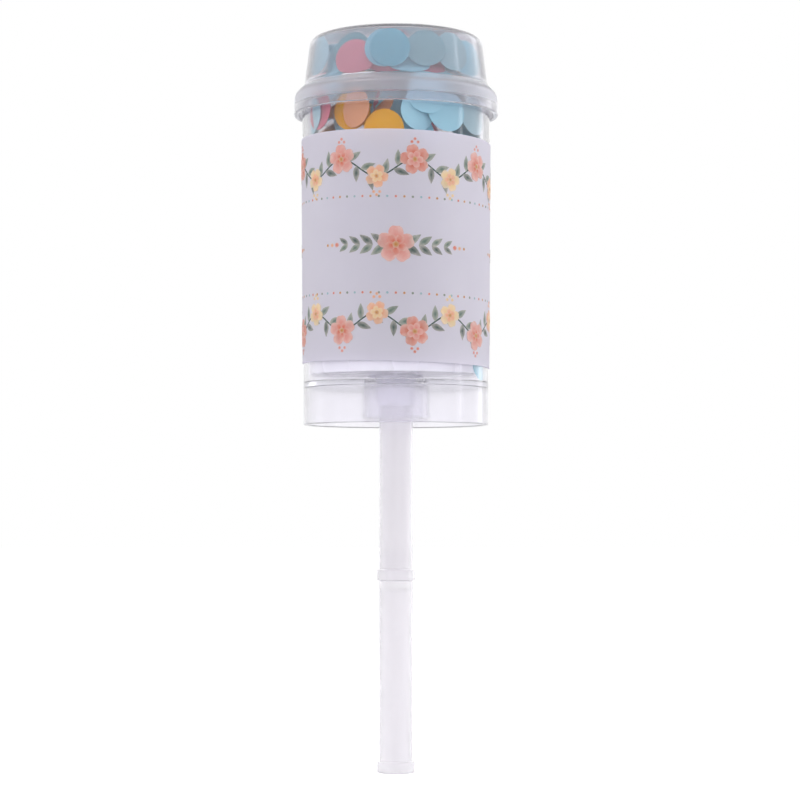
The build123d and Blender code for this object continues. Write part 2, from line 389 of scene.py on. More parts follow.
def grown(name, base, tree, settings):
    """The plain mesh that a Geometry Nodes tree makes from a base mesh, as an object."""
    piece = shown(name, base)
    modifier = piece.modifiers.new(name, "NODES")
    modifier.node_group = tree
    for socket in tree.interface.items_tree:
        if socket.in_out == "INPUT" and socket.name in settings:
            modifier[socket.identifier] = settings[socket.name]
    graph = bpy.context.evaluated_depsgraph_get()
    mesh = bpy.data.meshes.new_from_object(
        piece.evaluated_get(graph), preserve_all_data_layers=True, depsgraph=graph
    )
    piece.modifiers.remove(modifier)
    piece.data = mesh
    smoothed(mesh)
    return piece


def new_tree(name, sockets):
    """An empty Geometry Nodes tree with its named inputs, and its input and output nodes."""
    tree = bpy.data.node_groups.new(name, "GeometryNodeTree")
    tree.interface.new_socket("Geometry", in_out="INPUT", socket_type="NodeSocketGeometry")
    for socket, kind in sockets.items():
        tree.interface.new_socket(socket, in_out="INPUT", socket_type=kind)
    tree.interface.new_socket("Geometry", in_out="OUTPUT", socket_type="NodeSocketGeometry")
    return tree, add(tree, "NodeGroupInput").outputs


# Materials
def new_material(name):
    """An empty node material and its tree."""
    material = bpy.data.materials.new(name)
    material.use_nodes = True
    material.node_tree.nodes.clear()
    return material, material.node_tree


def noise(tree, place, scale, detail):
    """Noise from 0 to 1, with a number of blots to the metre."""
    return add(tree, "ShaderNodeTexNoise", {"Vector": place, "Scale": scale, "Detail": detail}).outputs["Fac"]


def drawn_out(tree, place):
    """A place for noise that draws its blots out upwards, the way the melt flowed."""
    return add(tree, "ShaderNodeMapping", {"Vector": place, "Scale": (1.0, 1.0, 0.15)}).outputs["Vector"]


def bumped(tree, height, strength, depth):
    """Normal of a surface with bumps, their depth in millimetres."""
    inputs = {"Height": height, "Strength": strength, "Distance": depth * mm}
    return add(tree, "ShaderNodeBump", inputs).outputs["Normal"]


def lamplit(tree, plastic, shade):
    """Shader of a plastic that the lamps' light passes through, dimmed by a shade."""
    through = add(tree, "ShaderNodeBsdfTransparent", {"Color": linear(shade)}).outputs["BSDF"]
    path = add(tree, "ShaderNodeLightPath").outputs
    return layered(tree, path["Is Shadow Ray"], plastic.outputs["BSDF"], through)


def moulded_plastic(name, colour, shade, clearness, roughness, tint):
    """Injection moulded polypropylene, from water clear to milky. Light from the lamps passes through it."""
    material, tree = new_material(name)
    place = add(tree, "ShaderNodeTexCoord").outputs["Object"]
    # Flow lines about 9 by 60 mm that the mould leaves, drawn only strong enough to bend a reflection
    ripple = noise(tree, drawn_out(tree, place), 110.0, 0.0)
    # Handling haze in patches about 10 mm wide
    haze = noise(tree, place, 100.0, 1.0)
    plastic = add(
        tree,
        "ShaderNodeBsdfPrincipled",
        {
            "Base Color": linear(colour),
            "Roughness": ranged(tree, haze, 0.3, 0.7, roughness * 0.7, roughness * 1.3),
            "IOR": plastic_ior,
            "Transmission Weight": clearness,
            "Normal": bumped(tree, ripple, 0.05, 0.2),
        },
    )
    surface = lamplit(tree, plastic, shade)
    inside = add(tree, "ShaderNodeVolumeAbsorption", {"Color": linear(tint), "Density": tint_density})
    add(tree, "ShaderNodeOutputMaterial", {"Surface": surface, "Volume": inside.outputs["Volume"]})
    return material


def milky_plastic():
    """Milky polypropylene of the stick: frosted, so that the light behind it comes through blurred."""
    material, tree = new_material("milky_polypropylene")
    place = add(tree, "ShaderNodeTexCoord").outputs["Object"]
    # Clouds in the melt, drawn out along the stick to about 4 by 25 mm
    cloud = noise(tree, drawn_out(tree, place), 250.0, 1.0)
    plastic = add(
        tree,
        "ShaderNodeBsdfPrincipled",
        {
            "Base Color": blended(tree, cloud, linear("ebe9ec"), linear("f4f2f5"), "RGBA"),
            "Roughness": 0.22,
            "IOR": plastic_ior,
            "Transmission Weight": 0.62,
            "Coat Weight": 1.0,
            "Coat Roughness": 0.08,
        },
    )
    add(tree, "ShaderNodeOutputMaterial", {"Surface": lamplit(tree, plastic, "f3f2f5")})
    return material


def frost_between(material, low, high, roughness, clearness):
    """Frosts a moulded plastic between two heights in millimetres, with soft borders."""
    tree = material.node_tree
    plastic = next(node for node in tree.nodes if node.type == "BSDF_PRINCIPLED")
    place = add(tree, "ShaderNodeTexCoord").outputs["Object"]
    height = add(tree, "ShaderNodeSeparateXYZ", {0: place}).outputs["Z"]
    borders = []
    for level, inwards in ((low, 1), (high, -1)):
        start = (level - inwards * frost_border) * mm
        end = (level + inwards * frost_border) * mm
        borders.append(ranged(tree, height, start, end, interpolation_type="SMOOTHSTEP"))
    band = worked(tree, "MULTIPLY", *borders)
    for name, frosted in (("Roughness", roughness), ("Transmission Weight", clearness)):
        socket = plastic.inputs[name]
        clear = socket.links[0].from_socket if socket.is_linked else socket.default_value
        tree.links.new(blended(tree, band, clear, frosted), socket)


def paper_surface(tree, colour, share_through, finish, through=()):
    """Finishes a paper's material: a matt front, and a share of the light behind it that comes through."""
    front = add(tree, "ShaderNodeBsdfPrincipled", {"Base Color": colour, **finish}).outputs["BSDF"]
    behind = add(tree, "ShaderNodeBsdfTranslucent", {"Color": colour, **dict(through)}).outputs["BSDF"]
    add(tree, "ShaderNodeOutputMaterial", {"Surface": layered(tree, share_through, front, behind)})


def label_paper(name, share_through):
    """Label paper: cool white, almost even, with a faint tooth, and a share of the light comes through."""
    material, tree = new_material(name)
    place = add(tree, "ShaderNodeTexCoord").outputs["Object"]
    # Paper tooth is about 0.1 mm, too fine to show, so it is drawn 0.5 mm wide
    tooth = bumped(tree, noise(tree, place, 2000.0, 3.0), 0.15, 0.05)
    # Cloudiness of the sheet, about 15 mm across
    cloud = noise(tree, place, 65.0, 2.0)
    colour = blended(tree, cloud, linear("ebe7f3"), linear("f3f0f9"), "RGBA")
    paper_surface(tree, colour, share_through, {"Roughness": 0.5, "IOR": 1.45, "Normal": tooth})
    return material


def printed_ink():
    """Offset ink on the label: flat, a little mottled like a wash, paler towards each motif's edge."""
    material, tree = new_material("printed_ink")
    place = add(tree, "ShaderNodeTexCoord").outputs["Object"]
    ink = add(tree, "ShaderNodeAttribute", attribute_name="ink").outputs["Color"]
    edge = add(tree, "ShaderNodeAttribute", attribute_name="edge").outputs["Fac"]
    # Blots of a wash, about 1.2 mm across
    blot = noise(tree, place, 850.0, 3.0)
    wash = blended(tree, worked(tree, "MULTIPLY", edge, blot), ink, linear("f6ece6"), "RGBA")
    paper_surface(tree, wash, 0.4, {"Roughness": 0.48, "IOR": 1.45})
    return material


def tissue_paper(name, deep, pale):
    """Dyed tissue paper: matt, lets some light through, and no two flakes quite the same shade."""
    material, tree = new_material(name)
    place = add(tree, "ShaderNodeTexCoord").outputs["Object"]
    # How pale each flake is: random, but its seeds make it painted light on the window's flakes and painted
    # shade on some in the lid
    shade = add(tree, "ShaderNodeAttribute", attribute_name="shade").outputs["Fac"]
    colour = blended(tree, shade, linear(deep), linear(pale), "RGBA")
    # Crumple of thin paper, about 2.5 mm from fold to fold
    crumple = bumped(tree, noise(tree, place, 400.0, 2.0), 0.25, 0.2)
    finish = {"Roughness": 0.75, "IOR": 1.4, "Normal": crumple}
    paper_surface(tree, colour, 0.4, finish, {"Normal": crumple})
    return material


barrel_plastic = moulded_plastic(
    "clear_polypropylene", "f8f7fb", shade="f8f7fb", clearness=1.0, roughness=0.09, tint="d6d4e6"
)
frost_between(barrel_plastic, -frost_border, floor_top, roughness=0.15, clearness=0.95)
lid_plastic = moulded_plastic(
    "hazy_clear_polypropylene", "f4f3f8", shade="d4d4de", clearness=0.94, roughness=0.13, tint="d6d4e6"
)
ring_frost_top = lid_shoulder_top - ring_frost_drop
frost_between(lid_plastic, flange_bottom, ring_frost_top, roughness=0.34, clearness=0.85)
piston_plastic = moulded_plastic(
    "natural_polypropylene", "f0eff4", shade="f2f1f6", clearness=0.1, roughness=0.25, tint="dcdae6"
)
stick_plastic = milky_plastic()
paper = label_paper("satin_coated_paper", share_through=0.42)
paper_back = label_paper("uncoated_paper_back", share_through=0.85)
ink_film = printed_ink()
flake_papers = {
    "blue": tissue_paper("sky_blue_tissue", "74bccc", "b6e4ee"),
    "aqua": tissue_paper("pale_aqua_tissue", "82b0b8", "c0e0e6"),
    "pink": tissue_paper("pink_tissue", "d87c8e", "e8a6b2"),
    "peach": tissue_paper("peach_tissue", "e4a270", "f0bc94"),
    "yellow": tissue_paper("yellow_tissue", "e8a800", "f0b60c"),
}

# Barrel and lid
barrel = shown(
    "clear_barrel",
    turned(
        "clear_barrel",
        [
            (skirt_radius, 0, edge_round),
            (skirt_radius, floor_height, skirt_round),
            (mouth_radius, flange_bottom, edge_round),
            (flange_radius, flange_bottom, edge_round),
            (flange_radius, barrel_top, edge_round),
            (mouth_radius - barrel_wall, barrel_top, edge_round),
            (bore_radius, floor_top, edge_round),
            (stick_hole_radius, floor_top, edge_round),
            (stick_hole_radius, floor_height, edge_round),
            (sleeve_bore_radius, floor_height, edge_round),
            (sleeve_bore_radius, floor_height - sleeve_length, edge_round),
            (sleeve_bore_radius + sleeve_wall, floor_height - sleeve_length, edge_round),
            (sleeve_bore_radius + sleeve_wall, floor_height, edge_round),
            (bore_radius, floor_height, edge_round),
            (bore_radius, 0, edge_round),
        ],
    ),
    barrel_plastic,
)
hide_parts("barrel")
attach(barrel, "barrel")

lid = shown(
    "clear_lid",
    turned(
        "clear_lid",
        [
            (0, lid_top, 0),
            (crown_top_radius, lid_top, lid_crown_round),
            (crown_base_radius, lid_shoulder_top, lid_wall),
            (lid_ring_radius, lid_shoulder_top - lid_shoulder_slope, lid_wall),
            (lid_ring_radius + lid_lip_bulge, lid_bottom + lid_lip_height, lid_wall),
            (lid_ring_radius + lid_lip_bulge, lid_bottom, lid_wall),
            (lid_ring_radius - lid_wall, lid_bottom, edge_round),
            (lid_ring_radius - lid_wall, barrel_top, edge_round),
            (crown_base_radius - lid_wall, barrel_top, edge_round),
            (crown_base_radius - lid_wall, lid_shoulder_top, edge_round),
            (crown_top_radius - lid_wall, lid_top - lid_wall, lid_wall),
            (0, lid_top - lid_wall, 0),
        ],
    ),
    lid_plastic,
)
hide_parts("lid")
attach(lid, "lid")

# Piston, with gussets spaced round its boss
piston_body = turned(
    "piston_body",
    [
        (0, piston_top, 0),
        (piston_radius - piston_rim_wall, piston_top, edge_round),
        (piston_radius - piston_rim_wall, piston_rim_top, edge_round),
        (piston_radius, piston_rim_top, edge_round),
        (piston_radius, piston_underside, edge_round),
        (boss_radius, piston_underside, edge_round),
        (boss_radius, boss_bottom + boss_taper_length, edge_round),
        (stick_radius + press_clearance + boss_end_wall, boss_bottom, edge_round),
        (stick_radius + press_clearance, boss_bottom, edge_round),
        (stick_radius + press_clearance, piston_underside, 0),
        (0, piston_underside, 0),
    ],
)
gusset_outline = [
    (boss_radius - boss_wall / 2, piston_underside),
    (boss_radius + gusset_reach, piston_underside),
    (boss_radius + gusset_foot, piston_underside - gusset_height),
    (boss_radius - boss_wall / 2, piston_underside - gusset_height),
]


def gusset_mesh():
    """One gusset that stands out from the boss towards +X."""
    half = gusset_thickness / 2
    vertices = [(out, side, height) for side in (-half, half) for out, height in gusset_outline]
    count = len(gusset_outline)
    faces = [tuple(range(count)), tuple(range(count, 2 * count))]
    faces += [(c, (c + 1) % count, (c + 1) % count + count, c + count) for c in range(count)]
    return made_mesh("gusset", vertices, faces)


def spaced_round():
    """A tree that turns copies of its geometry round the Z axis."""
    tree, given = new_tree(
        "spaced_round", {"Count": "NodeSocketInt", "Body": "NodeSocketObject", "Finish": "NodeSocketMaterial"}
    )
    centre = add(tree, "GeometryNodePoints", {"Count": given["Count"]})
    index = add(tree, "GeometryNodeInputIndex").outputs["Index"]
    step = worked(tree, "DIVIDE", 2 * math.pi, given["Count"])
    turns = add(tree, "ShaderNodeCombineXYZ", {"Z": worked(tree, "MULTIPLY", index, step)})
    copies = add(
        tree,
        "GeometryNodeInstanceOnPoints",
        {
            "Points": centre.outputs["Points"],
            "Instance": given["Geometry"],
            "Rotation": turns.outputs["Vector"],
        },
    )
    body = add(tree, "GeometryNodeObjectInfo", {"Object": given["Body"]})
    joined = add(tree, "GeometryNodeJoinGeometry", {"Geometry": copies.outputs["Instances"]})
    tree.links.new(body.outputs["Geometry"], joined.inputs["Geometry"])
    plain = add(tree, "GeometryNodeRealizeInstances", {"Geometry": joined.outputs["Geometry"]})
    finished = add(
        tree, "GeometryNodeSetMaterial", {"Geometry": plain.outputs["Geometry"], "Material": given["Finish"]}
    )
    add(tree, "NodeGroupOutput", {"Geometry": finished.outputs["Geometry"]})
    return tree


piston_form = shown("piston_form", piston_body)
piston = grown(
    "clear_piston",
    gusset_mesh(),
    spaced_round(),
    {"Count": gusset_count, "Body": piston_form, "Finish": piston_plastic},
)
bpy.data.objects.remove(piston_form)
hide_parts("piston")
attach(piston, "plunger")

# Stick
upper_stick = shown(
    "stick_upper_section",
    turned(
        "stick_upper_section",
        [
            (stick_bore, stick_joint, edge_round),
            (collar_radius, stick_joint, edge_round),
            (collar_radius, stick_joint + collar_height, edge_round),
            (stick_radius, stick_joint + collar_height, edge_round),
            (stick_radius, stick_top, edge_round),
            (stick_bore, stick_top, edge_round),
        ],
    ),
    stick_plastic,
)
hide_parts("upper_stick")
lower_stick = shown(
    "stick_lower_section",
    turned(
        "stick_lower_section",
        [
            (stick_bore, stick_foot, edge_round),
            (collar_radius, stick_foot, edge_round),
            (collar_radius, stick_foot + collar_height, edge_round),
            (stick_radius, stick_foot + collar_height, edge_round),
            (stick_radius, stick_joint, edge_round),
            (stick_bore - press_clearance, stick_joint, edge_round),
            (stick_bore - press_clearance, stick_joint + plug_length - plug_lead_in, edge_round),
            (stick_bore - press_clearance - plug_lead_in, stick_joint + plug_length, edge_round),
            (0, stick_joint + plug_length, 0),
            (0, stick_joint - plug_web, 0),
            (stick_bore, stick_joint - plug_web, edge_round),
        ],
    ),
    stick_plastic,
)
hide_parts("lower_stick")
for stick in (upper_stick, lower_stick):
    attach(stick, "plunger")


# Label
def label_point(across, up, side):
    """A point of the label, which starts and ends at its seam at the back."""
    turn = math.pi / 2 + label_seam / 2 / skirt_radius
    turn += across * (2 * math.pi - label_seam / skirt_radius)
    height = label_middle + (up - 0.5) * label_height
    radius = barrel_radius(height) + label_clearance + side * label_thickness
    out = radius * math.cos(turn)
    return out, radius * math.sin(turn), height - out * math.tan(label_skew)


label = shown("paper_label", sheet_mesh("paper_label", label_point, turn_steps, label_rows), paper)
label.data.materials.append(paper_back)
for face in label.data.polygons:
    face.material_index = int(face.normal.xy.dot(face.center.xy) < 0)
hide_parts("label")
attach(label, "barrel")


# Print: a running vine of blossoms and a row of pearls round the label's top and bottom, sprigs between
inks = {
    "coral": linear("de7f68"),
    "rose": linear("e79f94"),
    "peach": linear("efb78d"),
    "cream": linear("f2d9a6"),
    "ochre": linear("cf9440"),
    "sage": linear("6f867b"),
    "deep_sage": linear("4d6460"),
    "sky": linear("9cc6d2"),
}
label_radius = barrel_radius(label_middle) + label_clearance + label_thickness
label_round = 2 * math.pi * label_radius
label_draft = barrel_draft / (flange_bottom - floor_height)
wave_length = label_round / vine_waves
blossom_inks = [("coral", "rose"), ("cream", "peach"), ("rose", "coral"), ("peach", "cream")]
leaf_stands = [(0.06, 1), (0.3, -1), (0.7, 1), (0.94, -1)]
berry_stands = [(0.42, 2.6), (0.5, 3.4), (0.58, 2.6)]
pearl_inks = ("coral", "ochre", "sage", "sky")


def film_mesh(name, outlines):
    """Thin closed films from (heart, rim) outlines, with how near each point is to its film's edge."""
    vertices = []
    faces = []
    edge = []
    for heart, rim in outlines:
        first = len(vertices)
        count = len(rim)
        vertices += [(x, y, 0) for x, y in rim] + [(x, y, -film_depth) for x, y in rim] + [(*heart, 0)]
        edge += [1.0] * (2 * count) + [0.0]
        for step in range(count):
            after = (step + 1) % count
            faces.append((first + step, first + after, first + 2 * count))
            faces.append((first + step, first + after, first + count + after, first + count + step))
        faces.append([first + count + step for step in range(count)])
    mesh = made_mesh(name, vertices, faces)
    keep_values(mesh, "edge", edge)
    return mesh


def petal(turn):
    """Heart and rim of one notched petal that points at a turn from the blossom's middle."""
    cosine = math.cos(turn)
    sine = math.sin(turn)
    rim = []
    for step in range(petal_steps):
        way = 2 * math.pi * step / petal_steps
        notch = petal_notch * max(0, math.cos(way)) ** notch_sharpness
        out = petal_middle + petal_reach * math.cos(way) - notch
        side = petal_half_width * math.sin(way)
        rim.append((out * cosine - side * sine, out * sine + side * cosine))
    return (petal_heart * cosine, petal_heart * sine), rim


def leaf():
    """Heart and rim of one pointed leaf that grows from the origin along +X."""
    upper = []
    for step in range(leaf_steps + 1):
        share = step / leaf_steps
        upper.append((leaf_length * share, leaf_half_width * math.sin(math.pi * share**leaf_fullness)))
    lower = [(x, -y) for x, y in upper[-2:0:-1]]
    return (leaf_heart, 0), upper + lower


def dot():
    """Heart and rim of a round dot."""
    turns = [2 * math.pi * step / dot_steps for step in range(dot_steps)]
    return (0, 0), [(math.cos(turn), math.sin(turn)) for turn in turns]


def vine_at(across, level):
    """Height and slope of a vine at a way round the label. The lower vine mirrors the upper one."""
    phase = 2 * math.pi * across / wave_length
    bend = math.copysign(vine_height, level)
    return level + bend * math.sin(phase), math.atan(2 * math.pi / wave_length * bend * math.cos(phase))


def vine_point(level):
    """A function for sheet_mesh that gives the points of one vine's stem."""

    def place_at(across, up, side):
        across = (across - 0.5) * label_round
        height, slope = vine_at(across, level)
        return across, height + (up - 0.5) * vine_width / math.cos(slope), vine_lift - (1 - side) * film_depth

    return place_at


def set_blossom(places, across, up, turn, sizes, lifts, outer, inner):
    """Adds a blossom's outer petals, the inner petals between them, and its eye."""
    places["blossom"].append((across, up, turn, sizes[0], lifts[0], outer))
    places["blossom"].append((across, up, turn + math.pi / petal_count, sizes[1], lifts[1], inner))
    places["dot"].append((across, up, 0, sizes[2], lifts[2], "ochre"))


def print_places():
    """Where each motif goes, as lists of (across, up, turn, size, lift, ink) under the motif's name."""
    places = {"blossom": [], "leaf": [], "dot": []}
    for level in (vine_level, -vine_level):
        for half in range(2 * vine_waves):
            start = half * wave_length / 2 - label_round / 2
            outer, inner = blossom_inks[half % len(blossom_inks)]
            size = 1.0 if half % 2 == 0 else small_blossom
            across = start + wave_length / 4
            crest = vine_at(across, level)[0]
            sizes = [share * size for share in blossom_sizes]
            set_blossom(places, across, crest, blossom_turn * half, sizes, blossom_lifts, outer, inner)
            for share, side in leaf_stands:
                across = start + share * wave_length / 2
                up, slope = vine_at(across, level)
                turn = slope + side * vine_leaf_turn
                green = "sage" if side > 0 else "deep_sage"
                places["leaf"].append((across, up, turn, vine_leaf_size, leaf_lift, green))
            for share, away in berry_stands:
                across = start + share * wave_length / 2
                up = crest + math.copysign(away + berry_clearance * size, crest - level)
                places["dot"].append((across, up, 0, berry_size, berry_lift, outer))
        for number in range(pearl_count):
            across = (number / pearl_count - 0.5) * label_round
            up = math.copysign(pearl_level, level)
            ink = pearl_inks[number % len(pearl_inks)]
            places["dot"].append((across, up, 0, pearl_size, pearl_lift, ink))
    for number in range(sprig_count):
        middle = (number - sprig_count // 2) * label_round / sprig_count
        set_blossom(places, middle, 0, sprig_turn, sprig_sizes, sprig_lifts, "rose", "coral")
        for side in (0, math.pi):
            for step in range(sprig_leaves):
                across = middle + math.cos(side) * (sprig_start + sprig_pitch * step)
                size = 1.0 - sprig_taper * step
                places["leaf"].append((across, 0, side + sprig_leaf_turn, size, leaf_lift, "sage"))
                places["leaf"].append((across, 0, side - sprig_leaf_turn, size, lower_leaf_lift, "deep_sage"))
            tip = sprig_start + sprig_pitch * sprig_leaves
            for step, ink in enumerate(("coral", "peach", "ochre")):
                across = middle + math.cos(side) * (tip + sprig_berry_pitch * step)
                size = sprig_berry_size - sprig_taper * step
                places["dot"].append((across, 0, 0, size, berry_lift, ink))
    return places


def printed_round():
    """A tree that sets a motif at each point of a flat layout and bends the whole round the label."""
    tree, given = new_tree(
        "printed_round",
        {
            "Motif": "NodeSocketObject",
            "Radius": "NodeSocketFloat",
            "Draft": "NodeSocketFloat",
            "Skew": "NodeSocketFloat",
            "Middle": "NodeSocketFloat",
            "Ink": "NodeSocketMaterial",
        },
    )
    turns = add(tree, "ShaderNodeCombineXYZ", {"Z": point_value(tree, "turn")})
    motif = add(tree, "GeometryNodeObjectInfo", {"Object": given["Motif"]})
    placed = add(
        tree,
        "GeometryNodeInstanceOnPoints",
        {
            "Points": given["Geometry"],
            "Instance": motif.outputs["Geometry"],
            "Rotation": turns.outputs["Vector"],
            "Scale": point_value(tree, "size"),
        },
    )
    flat = add(tree, "GeometryNodeRealizeInstances", {"Geometry": placed.outputs["Instances"]})
    position = add(tree, "GeometryNodeInputPosition").outputs["Position"]
    at = add(tree, "ShaderNodeSeparateXYZ", {0: position}).outputs
    angle = worked(tree, "DIVIDE", at["X"], given["Radius"])
    wall = worked(tree, "MULTIPLY_ADD", at["Y"], given["Draft"], given["Radius"])
    reach = worked(tree, "ADD", wall, at["Z"])
    out = worked(tree, "MULTIPLY", reach, worked(tree, "SINE", angle))
    back = worked(tree, "MULTIPLY", reach, worked(tree, "COSINE", angle))
    front = worked(tree, "MULTIPLY", back, -1.0)
    drop = worked(tree, "MULTIPLY", out, given["Skew"])
    level = worked(tree, "ADD", at["Y"], given["Middle"])
    height = worked(tree, "SUBTRACT", level, drop)
    bent = add(tree, "ShaderNodeCombineXYZ", {"X": out, "Y": front, "Z": height})
    wrapped = add(
        tree,
        "GeometryNodeSetPosition",
        {"Geometry": flat.outputs["Geometry"], "Position": bent.outputs["Vector"]},
    )
    finished = add(
        tree, "GeometryNodeSetMaterial", {"Geometry": wrapped.outputs["Geometry"], "Material": given["Ink"]}
    )
    add(tree, "NodeGroupOutput", {"Geometry": finished.outputs["Geometry"]})
    return tree


def print_points(name, places):
    """The flat layout of one motif: a point for each place, with its turn, size and ink."""
    across, up, turns, sizes, lifts, shades = zip(*places)
    points = bpy.data.meshes.new(name)
    points.from_pydata([Vector(spot) * mm for spot in zip(across, up, lifts)], [], [])
    keep_values(points, "turn", turns)
    keep_values(points, "size", sizes)
    keep_values(points, "ink", [part for shade in shades for part in inks[shade]], "FLOAT_COLOR", "color")
    return points


petals = [petal(2 * math.pi * number / petal_count) for number in range(petal_count)]
motif_meshes = {
    "blossom": film_mesh("blossom", petals),
    "leaf": film_mesh("leaf", [leaf()]),
    "dot": film_mesh("dot", [dot()]),
}
layouts = print_places()
for name, level in (("upper_vine", vine_level), ("lower_vine", -vine_level)):
    motif_meshes[name] = sheet_mesh(name, vine_point(level), vine_columns, 1)
    motif_meshes[name].attributes.new("edge", "FLOAT", "POINT")
    layouts[name] = [(0, 0, 0, 1.0, 0, "deep_sage")]
print_tree = printed_round()
for name, mesh in motif_meshes.items():
    motif = shown(f"{name}_motif", mesh)
    print_film = grown(
        f"printed_{name}",
        print_points(name, layouts[name]),
        print_tree,
        {
            "Motif": motif,
            "Radius": label_radius * mm,
            "Draft": label_draft,
            "Skew": math.tan(label_skew),
            "Middle": label_middle * mm,
            "Ink": ink_film,
        },
    )
    bpy.data.objects.remove(motif)
    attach(print_film, "barrel")


# Stray flake between the piston and the wall
def stray_point(across, up, side):
    """A point of the stray flake, which is a disc's lower half held against the wall."""
    aside = (across - 0.5) * stray_width
    foot = stray_low.z + flake_radius - math.sqrt(flake_radius**2 - aside**2)
    radius = stray_inside + side * stray_thickness
    turn = stray_turn - math.pi / 2 + aside / bore_radius
    return radius * math.cos(turn), radius * math.sin(turn), foot + up * (stray_high.z - foot)


stray_low, stray_high = corners_of("stray_flake")
stray_inside = piston_radius + (bore_radius - piston_radius - stray_thickness) / 2
stray_mesh = sheet_mesh("caught_flake", stray_point, stray_columns, stray_rows)
keep_values(stray_mesh, "shade", [1.0] * len(stray_mesh.vertices))
stray = shown("caught_flake", stray_mesh, flake_papers["blue"])
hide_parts("stray_flake")
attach(stray, "barrel")


# Confetti
def flake_mesh():
    """A flat paper disc in strips, with how far across each point lies, so that it can curl."""
    rim = []
    for step in range(flake_strips + 1):
        turn = math.pi * step / flake_strips
        rim.append((-math.cos(turn), math.sin(turn)))
    vertices = []
    across = []
    for side in (-0.5, 0.5):
        for x, y in rim + [(x, -y) for x, y in rim[-2:0:-1]]:
            vertices.append((flake_radius * x, flake_radius * y, side * flake_thickness))
            across.append(x)
    count = 2 * flake_strips
    faces = [(c, (c + 1) % count, count + (c + 1) % count, count + c) for c in range(count)]
    for layer in (0, count):
        for step in range(flake_strips):
            strip = [step, step + 1, count - step - 1, (count - step) % count]
            faces.append([layer + c for c in dict.fromkeys(strip)])
    mesh = made_mesh("flake", vertices, faces)
    keep_values(mesh, "across", across)
    return mesh


def lid_bore(height):
    """Inside radius of the lid, which tapers above its shoulder."""
    rise = max(0.0, height - lid_shoulder_top) / (lid_top - lid_wall - lid_shoulder_top)
    return crown_base_radius - lid_wall - lid_crown_taper * rise


def room_at(height):
    """Radius free for paper at a height, at rest and once the pile is crushed under the closed lid."""
    crushed = piston_top + plunger_travel + flake_crush * (height - piston_top)
    if crushed < piston_rim_top + plunger_travel:
        return piston_radius - piston_rim_wall
    return min(lid_bore(height), lid_bore(crushed))


def overreach(corner, centre, facing):
    """How far a corner of a flake, moved by the most that a flake curls, passes the room it has."""
    sideways = facing.cross(Vector((0, 0, 1))).normalized()
    across = (corner - centre).dot(sideways) / (flake_radius * mm)
    curled = (corner + flake_curl * mm * (1 - across**2) * facing) / mm
    return curled.xy.length - room_at(curled.z)


def flake_places(node):
    """Centre and facing of each disc in a confetti node, with the facing turned away from the axis.

    A disc that would cut the piston's rim or the lid when the pile is crushed is drawn in from the wall.
    """
    discs = bmesh.new()
    discs.from_mesh(frame["nodes"][node].data)
    bmesh.ops.remove_doubles(discs, verts=discs.verts, dist=weld_distance * mm)
    seen = set()
    places = []
    for first in discs.verts:
        if first in seen:
            continue
        island = [first]
        seen.add(first)
        for vertex in island:
            for edge in vertex.link_edges:
                other = edge.other_vert(vertex)
                if other not in seen:
                    seen.add(other)
                    island.append(other)
        centre = sum((vertex.co for vertex in island), Vector()) / len(island)
        faces = [face for vertex in island for face in vertex.link_faces]
        widest = max(faces, key=lambda face: face.calc_area())
        facing = widest.normal.copy()
        if facing.x * centre.x + facing.y * centre.y < 0:
            facing.negate()
        outward = Vector((centre.x, centre.y, 0)).normalized()
        over = max(overreach(vertex.co, centre, facing) for vertex in island)
        places.append((centre - max(0.0, over + flake_gap) * mm * outward, facing))
    discs.free()
    return places


def window_place(turn, distance, drop):
    """Centre and facing of an upright flake that faces the barrel's wall."""
    facing = Vector((math.sin(math.radians(turn)), -math.cos(math.radians(turn)), 0))
    return (distance * facing + Vector((0, 0, barrel_top - drop))) * mm, facing


